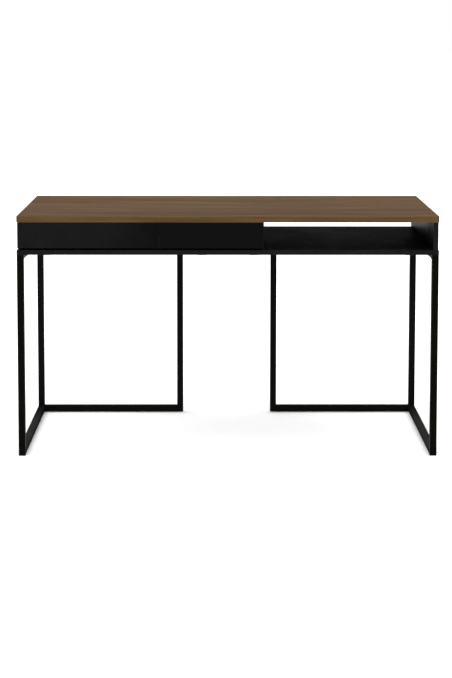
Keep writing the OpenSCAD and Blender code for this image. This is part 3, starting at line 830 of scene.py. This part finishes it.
def solids(shape: bmesh.types.BMesh) -> list[Box]:
    """Boxes of the separate bodies of a mesh.

    Args:
        shape: the mesh.

    Returns:
        Lowest and highest corner of each body, from left to right and then from front to rear.
    """
    left = set(shape.verts)
    boxes = []
    while left:
        body = grown([next(iter(left))])
        left -= body
        low = Vector(min(vert.co[axis] for vert in body) for axis in range(3))
        high = Vector(max(vert.co[axis] for vert in body) for axis in range(3))
        boxes.append((low, high))
    return sorted(boxes, key=lambda box: (round(box[0].x, 4), round(box[0].y, 4), round(box[0].z, 4)))


def node_solids(node: str) -> list[Box]:
    """Boxes of the separate bodies of one node of the frame.

    Args:
        node: the node's name.

    Returns:
        Lowest and highest corner of each body, in the order of solids().
    """
    shape = merged_copy(node)
    boxes = solids(shape)
    shape.free()
    return boxes


def facing(x: float = 0.0, y: float = 0.0, z: float = 1.0) -> Matrix:
    """Rotation that turns +Z to the given direction."""
    return Vector((0.0, 0.0, 1.0)).rotation_difference(Vector((x, y, z))).to_matrix().to_4x4()


def cam_covers(boards: Sequence[Box], cams: Sequence[Box], radius: float, rise: float,
               steps: int = 24) -> bmesh.types.BMesh:
    """Domed covers over the open side of each cam: the face of its board that it lies nearest to.

    Args:
        boards: lowest and highest corners of the boards.
        cams: lowest and highest corners of the cams.
        radius: radius of a cover.
        rise: how far it stands off the board.
        steps: facets round a cover.

    Returns:
        The mesh.
    """
    shape = bmesh.new()
    for low, high in boards:
        for cam_low, cam_high in cams:
            if low.x < cam_low.x and cam_high.x < high.x:
                middle = (cam_low + cam_high) / 2
                opens_right = middle.x > (low.x + high.x) / 2
                place = Matrix.Translation((high.x if opens_right else low.x, middle.y, middle.z))
                place = place @ facing(x=1.0 if opens_right else -1.0, z=0.0)
                turned(shape, COVER_OUTLINE, radius, rise, place, steps)
    return shape


# ------------------------------------------------------------------ sub-assemblies


@dataclass
class Assembly:
    """A group of pieces that ride on one body of the frame."""

    body: str = "desk"
    made: list[bpy.types.Object] = field(default_factory=list)

    def publish(self, thing: bpy.types.Object, slot: Slot, nodes: Sequence[str] = ()) -> None:
        """Puts a finished piece on its body.

        Args:
            thing: the piece.
            slot: not used.
            nodes: the nodes of the frame that it stands for.
        """
        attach(thing, self.body)
        if nodes:
            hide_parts(*nodes)
        self.made.append(thing)
        LOG.info("%s: %d faces on %s", thing.name, len(thing.data.polygons), self.body)

    def softened(self, node: str, finish: Finish, slot: Slot, radius: float, segments: int = 2) -> None:
        """Replaces a node by a copy of it with rounded arrises and a finish.

        Args:
            node: the node.
            finish: what it is finished in.
            slot: the record's slot.
            radius: width of the rounding, in metres.
            segments: facets across it.
        """
        low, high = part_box(node)
        shape = merged_copy(node)
        soften(shape, radius, segments)
        materials = [finish.material(f"{node}_finish", low, high)]
        self.publish(to_object(shape, f"{node}_visual", materials), slot, [node])


@dataclass
class Worktop(Assembly):
    """The walnut-look top: board, edge strips and a plain underside."""

    arris: float = 0.1 * MM
    strip_arris: float = 0.35 * MM
    strip_reach: float = 1.5 * MM
    top_finish: WalnutPrint = WalnutPrint()
    strip_finish: WalnutPrint = WalnutPrint(
        dark=(0.040, 0.021, 0.007), middle=(0.070, 0.038, 0.013), light=(0.098, 0.056, 0.022),
        red=(0.080, 0.039, 0.015), olive=(0.066, 0.042, 0.015), offset=(0.7, 0.259, 0.11), specular=0.06
    )
    end_offset: Triple = (0.3, 0.111, 0.11)
    underside: Fibreboard = Fibreboard(
        base=(0.03, 0.021, 0.015), fibre=(0.05, 0.036, 0.026), roughness=0.6
    )

    def build(self) -> None:
        """Builds the board and its strips."""
        low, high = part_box("tabletop")
        shape = merged_copy("tabletop")
        soften(shape, self.arris, 1)
        for face in shape.faces:
            face.material_index = 0 if face.normal.z > 0.5 else 1
        finishes = [self.top_finish.material("tabletop_walnut", low, high),
                    self.underside.material("tabletop_underside", low, high)]
        self.publish(to_object(shape, "tabletop_visual", finishes), Slot.WALNUT, ["tabletop"])

        low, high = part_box("tabletop_edge_bands")
        shape = merged_copy("tabletop_edge_bands")
        soften(shape, self.strip_arris, 3)
        for face in shape.faces:
            centre = face.calc_center_median()
            at_end = min(centre.x - low.x, high.x - centre.x) < self.strip_reach
            face.material_index = 1 if at_end else 0
        crossways = replace(self.strip_finish, grain=Grain.ALONG_Y, offset=self.end_offset)
        finishes = [self.strip_finish.material("long_strips", low, high),
                    crossways.material("end_strips", low, high)]
        self.publish(to_object(shape, "edge_bands_visual", finishes), Slot.WALNUT_BAND,
                     ["tabletop_edge_bands"])


@dataclass
class Carcass(Assembly):
    """The black boards of the case, its back panel, its fittings and the covers of its cams."""

    arris: float = 0.5 * MM
    thin_arris: float = 0.3 * MM
    fitting_arris: float = 0.15 * MM
    band_depth: float = 0.8 * MM
    floor_face: BlackBoard = BlackBoard()
    upright_face: BlackBoard = BlackBoard(specular=0.0055, roughness=0.36)
    band: BlackBoard = BlackBoard(
        base=(0.0046, 0.0046, 0.0047), dust_and_lit_colour=(0.0066, 0.0066, 0.0066), roughness=0.5
    )
    hardboard: Fibreboard = Fibreboard()
    zinc: BrushedZinc = BrushedZinc(brushed=Grain.ALONG_Z)
    cover: MouldedPlastic = MouldedPlastic(
        base=(0.001, 0.001, 0.001), scuffed=(0.004, 0.004, 0.004), specular=0.01
    )
    cover_radius: float = 8.6 * MM
    cover_rise: float = 0.9 * MM
    uprights: tuple[str, ...] = ("left_side_panel", "drawer_divider", "bay_divider", "right_side_panel")
    fittings: tuple[str, ...] = ("cam_locks", "cam_bolts", "divider_screws", "side_panel_screws",
                                 "back_panel_screws")

    def build(self) -> None:
        """Builds the boards, then the fittings."""
        for node in self.uprights:
            self.banded_board(node, self.upright_face)
        self.banded_board("case_floor", self.floor_face)
        self.softened("drawer_back_panel", self.hardboard, Slot.HARDBOARD, self.thin_arris)
        for node in self.fittings:
            self.softened(node, self.zinc, Slot.ZINC, self.fitting_arris, 1)
        boards = [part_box(node) for node in self.uprights]
        shape = cam_covers(boards, node_solids("cam_locks"), self.cover_radius, self.cover_rise)
        finish = self.cover.material("cam_cover_plastic", *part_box("cam_locks"))
        self.publish(to_object(shape, "cam_covers", [finish], False), Slot.CAP)

    def banded_board(self, node: str, finish: BlackBoard) -> None:
        """Builds one board with a strip of its own sheen on the front and rear edges.

        Args:
            node: the board's node.
            finish: what its faces are finished in.
        """
        low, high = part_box(node)
        front, rear = low.y + self.band_depth, high.y - self.band_depth
        shape = merged_copy(node)
        for depth in (front, rear):
            bmesh.ops.bisect_plane(shape, geom=[*shape.verts, *shape.edges, *shape.faces],
                                   dist=CUT_GAP, plane_co=(0, depth, 0), plane_no=(0, 1, 0))
        soften(shape, self.arris)
        for face in shape.faces:
            face.material_index = 0 if front < face.calc_center_median().y < rear else 1
        finishes = [finish.material(f"{node}_face", low, high),
                    self.band.material(f"{node}_band", low, high)]
        self.publish(to_object(shape, f"{node}_visual", finishes), Slot.BLACK, [node])


@dataclass
class SteelFrame(Assembly):
    """The tubes of the ring and of the two leg loops, their welds, brackets, straps and caps."""

    arris: float = 0.35 * MM
    cap_arris: float = 0.9 * MM
    fitting_arris: float = 0.2 * MM
    bead_width: float = 2.4 * MM
    bead_sides: int = 8
    bead_proud: float = 0.12
    swell: float = 1.14
    ripple: float = 1.1 * MM
    least_ripples: int = 4
    inset: float = 2.0 * MM
    ring_paint: PowderCoat = PowderCoat(base=(0.0034, 0.0034, 0.0034), specular=0.05)
    leg_paint: PowderCoat = PowderCoat(base=(0.0014, 0.0013, 0.0008), specular=0.02)
    rear_paint: PowderCoat = PowderCoat(base=(0.0023, 0.0022, 0.0018), specular=0.02)
    # Painted light and shade: the side floor rails get a base several times lighter than the other tubes and
    # no specular, a painted reflection of the light their tops catch, and darken towards the rear corner as
    # painted shade.
    lit_rail_paint: PowderCoat = PowderCoat(
        base=(0.0165, 0.0165, 0.016), rubbed=(0.035, 0.035, 0.034), specular=0.0, roughness=0.6,
        painted_shade_span=(0.06, 0.27)
    )
    bracket_paint: PowderCoat = PowderCoat(base=(0.03, 0.03, 0.031), rubbed=(0.08, 0.08, 0.08), wear=0.7)
    caps: MouldedPlastic = MouldedPlastic(base=(0.002, 0.002, 0.002), specular=0.04)
    zinc: BrushedZinc = BrushedZinc(brushed=Grain.ALONG_Z)
    ring: tuple[str, ...] = ("ring_front_rail", "ring_rear_rail", "ring_left_rail", "ring_right_rail",
                             "floor_straps")
    behind: tuple[str, ...] = ("rear_leg", "rear_floor_rail", "rear_upright")

    def build(self) -> None:
        """Builds every tube and fitting of the frame."""
        for node in self.ring:
            self.softened(node, self.ring_paint, Slot.FRAME, self.arris)
        for side in ("left", "right"):
            self.softened(f"{side}_front_leg", self.leg_paint, Slot.FRAME, self.arris)
            for part in self.behind:
                self.softened(f"{side}_{part}", self.rear_paint, Slot.FRAME, self.arris)
            self.softened(f"{side}_side_floor_rail", self.lit_rail_paint, Slot.FRAME, self.arris)
        self.softened("corner_brackets", self.bracket_paint, Slot.BRACKET, self.arris)
        self.softened("foot_caps", self.caps, Slot.CAP, self.cap_arris, 3)
        for node in ("bracket_bolts", "bracket_nuts", "strap_screws"):
            self.softened(node, self.zinc, Slot.ZINC, self.fitting_arris, 1)
        self.weld_beads()

    def weld_beads(self) -> None:
        """Lays a rippled bead along each inside corner where two tubes meet."""
        shape = bmesh.new()
        under_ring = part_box("ring_rear_rail")[0].z
        behind_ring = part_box("ring_rear_rail")[0].y
        for side, inward in (("left", 1.0), ("right", -1.0)):
            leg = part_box(f"{side}_front_leg")
            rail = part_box(f"{side}_side_floor_rail")
            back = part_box(f"{side}_rear_floor_rail")
            inner = leg[1].x if inward > 0 else leg[0].x
            for depth, into in ((rail[0].y, 1.0), (rail[1].y, -1.0)):
                self.bead(shape, (rail[0].x, depth, rail[1].z), (rail[1].x, depth, rail[1].z), (0, into, 1))
                self.bead(shape, (inner, depth, rail[0].z), (inner, depth, rail[1].z), (inward, into, 0))
            self.bead(shape, (inner, back[0].y, back[1].z), (inner, back[1].y, back[1].z), (inward, 0, 1))
            for post in (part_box(f"{side}_rear_leg"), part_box(f"{side}_rear_upright")):
                self.bead(shape, (post[0].x, behind_ring, under_ring), (post[1].x, behind_ring, under_ring),
                          (0, -1, -1))
        bmesh.ops.recalc_face_normals(shape, faces=shape.faces)
        finish = self.leg_paint.material("weld_paint", *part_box("ring_front_rail"))
        self.publish(to_object(shape, "weld_beads", [finish], False), Slot.FRAME)

    def bead(self, shape: bmesh.types.BMesh, first: Triple, last: Triple, open_side: Triple) -> None:
        """Adds one bead: a thin round bar that swells with each ripple of the torch.

        Args:
            shape: the mesh that takes it.
            first: one end of the inside corner.
            last: the other end.
            open_side: direction of the open side of the corner.
        """
        way = (Vector(last) - Vector(first)).normalized()
        start = Vector(first) + way * self.inset
        length = (Vector(last) - Vector(first)).length - 2 * self.inset
        steps = max(self.least_ripples, round(length / self.ripple) * 2)
        start += Vector(open_side).normalized() * self.bead_width * self.bead_proud
        ring = bmesh.ops.create_circle(shape, cap_ends=True, segments=self.bead_sides,
                                       radius=self.bead_width / 2,
                                       matrix=Matrix.Translation(start) @ facing(*way))["verts"]
        end = ring[0].link_faces[0]
        for count in range(1, steps + 1):
            pushed = bmesh.ops.extrude_face_region(shape, geom=[end])["geom"]
            faces = [item for item in pushed if isinstance(item, bmesh.types.BMFace)]
            verts = [item for item in pushed if isinstance(item, bmesh.types.BMVert)]
            if count > 1:
                bmesh.ops.delete(shape, geom=[end], context="FACES_ONLY")
            end = faces[0]
            bmesh.ops.translate(shape, vec=way * (length / steps), verts=verts)
            swell = self.swell if count % 2 == 1 else 1 / self.swell
            middle = start + way * (length * count / steps)
            bmesh.ops.scale(shape, vec=(swell, swell, swell), space=Matrix.Translation(-middle), verts=verts)


@dataclass
class Drawer(Assembly):
    """One drawer: front, box, inner runner members, cam covers and the bumpers behind its front."""

    side: str = "left"
    neighbours: tuple[str, str] = ("left_side_panel", "drawer_divider")
    front_arris: float = 0.7 * MM
    board_arris: float = 0.4 * MM
    runner_arris: float = 0.25 * MM
    bottom_arris: float = 0.2 * MM
    fitting_arris: float = 0.12 * MM
    bumper_radius: float = 4.0 * MM
    bumper_margin: float = 0.5 * MM
    bumper_sides: int = 16
    bumper_rise: float = 1.8 * MM
    bumper_drop: float = 12.0 * MM
    cover_radius: float = 7.0 * MM
    cover_rise: float = 0.7 * MM
    front: BlackBoard = BlackBoard(
        base=(0.0007, 0.0007, 0.0007), dust_and_lit_colour=(0.0018, 0.0018, 0.0018), roughness=0.44
    )
    box: BlackBoard = BlackBoard(base=(0.005, 0.005, 0.0052), dust_and_lit_colour=(0.01, 0.01, 0.0102), roughness=0.55)
    hardboard: Fibreboard = Fibreboard()
    steel: BrushedZinc = BrushedZinc()
    zinc: BrushedZinc = BrushedZinc(brushed=Grain.ALONG_X)
    plastic: MouldedPlastic = MouldedPlastic(base=(0.003, 0.003, 0.003))
    rubber: MouldedPlastic = MouldedPlastic(base=(0.05, 0.05, 0.048), scuffed=(0.09, 0.088, 0.08))

    def build(self) -> None:
        """Builds the drawer's pieces."""
        name = f"{self.side}_drawer"
        self.softened(f"{name}_front", self.front, Slot.BLACK, self.front_arris, 3)
        for part in ("left_side", "right_side", "back"):
            self.softened(f"{name}_{part}", self.box, Slot.BLACK, self.board_arris)
        self.softened(f"{name}_bottom", self.hardboard, Slot.HARDBOARD, self.bottom_arris, 1)
        for part in ("cams", "cam_bolts", "screws"):
            self.softened(f"{name}_{part}", self.zinc, Slot.ZINC, self.fitting_arris, 1)
        self.softened(f"{self.side}_runner_inners", self.steel, Slot.RUNNER, self.runner_arris)
        self.cam_covers()
        self.bumpers()

    def cam_covers(self) -> None:
        """Caps the cams on the inner faces of the sides."""
        name = f"{self.side}_drawer"
        sides = [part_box(f"{name}_{part}") for part in ("left_side", "right_side")]
        shape = cam_covers(sides, node_solids(f"{name}_cams"), self.cover_radius, self.cover_rise)
        finish = self.plastic.material(f"{name}_cover_plastic", *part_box(f"{name}_cams"))
        self.publish(to_object(shape, f"{name}_cam_covers", [finish], False), Slot.CAP)

    def bumpers(self) -> None:
        """Sticks a small rubber bumper where the front meets the edge of each upright board."""
        name = f"{self.side}_drawer"
        low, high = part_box(f"{name}_front")
        shape = bmesh.new()
        for board in self.neighbours:
            board_low, board_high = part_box(board)
            left, right = max(low.x, board_low.x), min(high.x, board_high.x)
            radius = min(self.bumper_radius, (right - left) / 2 - self.bumper_margin)
            place = Matrix.Translation(((left + right) / 2, high.y, high.z - self.bumper_drop))
            turned(shape, BUMPER_OUTLINE, radius, self.bumper_rise, place @ facing(y=1.0, z=0.0),
                   self.bumper_sides)
        finish = self.rubber.material(f"{name}_rubber", low, high)
        self.publish(to_object(shape, f"{name}_bumpers", [finish], False), Slot.CAP)


@dataclass
class MiddleMembers(Assembly):
    """The middle members of one drawer's runners, with the balls they run on and the ball cages."""

    side: str = "left"
    arris: float = 0.25 * MM
    sheet: float = 1.2 * MM
    outer_row: float = 0.45
    inner_row: float = 0.72
    ball_gap: float = 1.6 * MM
    ball: float = 1.5 * MM
    ball_sides: int = 8
    ball_rings: int = 5
    pitch: float = 14.0 * MM
    end_gap: float = 12.0 * MM
    cage_width: float = 4.0 * MM
    cage_sheet: float = 0.4 * MM
    cage_arris: float = 0.1 * MM
    steel: BrushedZinc = BrushedZinc(base=(0.42, 0.43, 0.45))
    chrome: BrushedZinc = BrushedZinc(base=(0.6, 0.61, 0.63), roughness=0.14)

    def build(self) -> None:
        """Builds the pair and what runs on it."""
        node = f"{self.side}_runner_middles"
        self.softened(node, self.steel, Slot.RUNNER, self.arris)
        balls = bmesh.new()
        cages = bmesh.new()
        for (low, high), away in zip(node_solids(node), (1.0, -1.0)):
            web = low.x if away > 0 else high.x
            centre = (low.z + high.z) / 2
            outer = (high.z - low.z + self.ball_gap) / 2
            inner = (high.z - low.z - self.ball_gap) / 2 - self.sheet
            for reach, depth in ((outer, self.outer_row), (inner, self.inner_row)):
                x = web + away * depth * (high.x - low.x)
                for z in (centre - reach, centre + reach):
                    self.row(balls, cages, Vector((x, low.y, z)), high.y - low.y)
        for shape, name, finish in ((balls, "balls", self.chrome), (cages, "ball_cages", self.steel)):
            material = finish.material(f"{self.side}_runner_{name}_steel", *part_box(node))
            self.publish(to_object(shape, f"{self.side}_runner_{name}", [material], False), Slot.RUNNER)

    def row(self, balls: bmesh.types.BMesh, cages: bmesh.types.BMesh, start: Vector, length: float) -> None:
        """Adds one row of balls and the strip that keeps them apart.

        Args:
            balls: the mesh that takes the balls.
            cages: the mesh that takes the strip.
            start: the row's front end.
            length: the member's length.
        """
        count = int((length - 2 * self.end_gap) / self.pitch)
        for number in range(count + 1):
            place = start + Vector((0.0, self.end_gap + number * self.pitch, 0.0))
            bmesh.ops.create_uvsphere(balls, u_segments=self.ball_sides, v_segments=self.ball_rings,
                                      radius=self.ball / 2, matrix=Matrix.Translation(place))
        half = Vector((self.cage_width / 2, 0.0, self.cage_sheet / 2))
        near = start + Vector((0.0, self.end_gap - self.pitch / 2, 0.0))
        far = start + Vector((0.0, self.end_gap + (count + 0.5) * self.pitch, 0.0))
        made = add_box(cages, near - half, far + half)
        edges = list({edge for vert in made for edge in vert.link_edges})
        bmesh.ops.bevel(cages, geom=edges, offset=self.cage_arris, offset_type="OFFSET",
                        affect="EDGES", segments=1, profile=0.5, material=-1)


@dataclass
class OuterMembers(Assembly):
    """The runner members screwed to the case."""

    arris: float = 0.25 * MM
    screw_arris: float = 0.12 * MM
    steel: BrushedZinc = BrushedZinc()
    zinc: BrushedZinc = BrushedZinc(brushed=Grain.ALONG_X)

    def build(self) -> None:
        """Builds both pairs and their screws."""
        for side in ("left", "right"):
            self.softened(f"{side}_runner_outers", self.steel, Slot.RUNNER, self.arris)
        self.softened("runner_outer_screws", self.zinc, Slot.ZINC, self.screw_arris, 1)


# ------------------------------------------------------------------ studio


@dataclass
class Studio:
    """Pale floor, soft light and the camera."""

    floor_half: float = 60.0
    floor_drop: float = 0.2 * MM
    floor_colour: Rgb = (0.93, 0.93, 0.93)
    floor_shade: float = 0.985
    floor_roughness: float = 0.9
    floor_specular: float = 0.1
    floor_clouds: Layer = Layer(0.6, 2.0, 0.5)
    sun_strength: float = 2.5
    sun_spread: float = math.radians(100.0)
    sun_lean: tuple[float, float] = (math.radians(20.0), math.radians(-16.0))
    room_seen: float = 1.0
    room_light: float = 1.2
    room_gloss: float = 0.14
    lens: float = 88.15
    lift: float = -0.245
    eye: Triple = (-0.035, -5.363, 1.350)
    pitch: float = math.radians(5.26)
    yaw: float = math.radians(0.326)
    roll: float = math.radians(0.06)

    def build(self) -> None:
        """Builds the floor, the lights and the camera."""
        self.floor()
        self.lights()
        self.room()
        self.camera()

    def floor(self) -> None:
        """Lays a wide pale floor with a faint cloud in its colour."""
        shape = bmesh.new()
        bmesh.ops.create_grid(shape, x_segments=1, y_segments=1, size=self.floor_half,
                              matrix=Matrix.Translation((0.0, 0.0, -self.floor_drop)))
        sheet = Sheet.material("studio_floor")
        shade = tuple(channel * self.floor_shade for channel in self.floor_colour)
        colour = sheet.mix(sheet.noise(self.floor_clouds), self.floor_colour, shade)
        material = sheet.surface(colour, self.floor_roughness, specular=self.floor_specular)
        to_object(shape, "studio_floor", [material], False)

    def lights(self) -> None:
        """Hangs one broad soft light overhead, a little to the front and left."""
        light = bpy.data.lights.new("soft_light", "SUN")
        light.energy = self.sun_strength
        light.angle = self.sun_spread
        lamp = bpy.data.objects.new("soft_light", light)
        lamp.rotation_euler = (*self.sun_lean, 0.0)
        bpy.context.scene.collection.objects.link(lamp)

    def room(self) -> None:
        """Fills the room with even light, dimmer where it is mirrored in a glossy face."""
        world = bpy.data.worlds.new("studio")
        bpy.context.scene.world = world
        sheet = Sheet(world)
        seen = sheet.node("ShaderNodeLightPath", output="Is Camera Ray")
        mirrored = sheet.node("ShaderNodeLightPath", output="Is Glossy Ray")
        glow = self.room_light + seen * (self.room_seen - self.room_light)
        glow = glow + mirrored * (self.room_gloss - self.room_light)
        backdrop = sheet.node("ShaderNodeBackground", None, {"Color": (1.0, 1.0, 1.0), "Strength": glow})
        sheet.end("ShaderNodeOutputWorld", backdrop)
        bpy.context.scene.view_settings.view_transform = "Standard"

    def camera(self) -> None:
        """Sets up the camera, tilted slightly down, with its picture shifted."""
        data = bpy.data.cameras.new("camera")
        data.lens = self.lens
        data.shift_y = self.lift
        data.clip_end = 2 * self.floor_half
        eye = bpy.data.objects.new("camera", data)
        turn = Matrix.Rotation(-self.yaw, 4, "Z") @ Matrix.Rotation(math.pi / 2 - self.pitch, 4, "X")
        eye.rotation_euler = (turn @ Matrix.Rotation(self.roll, 4, "Z")).to_euler()
        eye.location = self.eye
        bpy.context.scene.collection.objects.link(eye)
        bpy.context.scene.camera = eye


def main() -> None:
    """Builds the desk and the studio, in order."""
    logging.basicConfig(level=logging.INFO, format="%(name)s: %(message)s")
    # Painted light: the left front gets a darker base and a lighter colour fading in from its left end, lit
    # and shaded versions of one black laminate standing in for light from the left.
    left_front = BlackBoard(base=(0.0003, 0.0003, 0.0003), dust_and_lit_colour=(0.005, 0.005, 0.005), roughness=0.44,
                            painted_light_until=(-0.45, -0.22))
    assemblies: list[Assembly] = [
        Worktop(),
        Carcass(),
        SteelFrame(),
        OuterMembers(),
        Drawer(body="left_drawer", side="left", front=left_front),
        Drawer(body="right_drawer", side="right", neighbours=("drawer_divider", "bay_divider")),
        MiddleMembers(body="left_runner_middles", side="left"),
        MiddleMembers(body="right_runner_middles", side="right"),
    ]
    for assembly in assemblies:
        assembly.build()
    pieces = sum(len(assembly.made) for assembly in assemblies)
    LOG.info("%d pieces", pieces)
    Studio().build()


if __name__ == "__main__":
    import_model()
    main()
    bpy.context.view_layer.update()
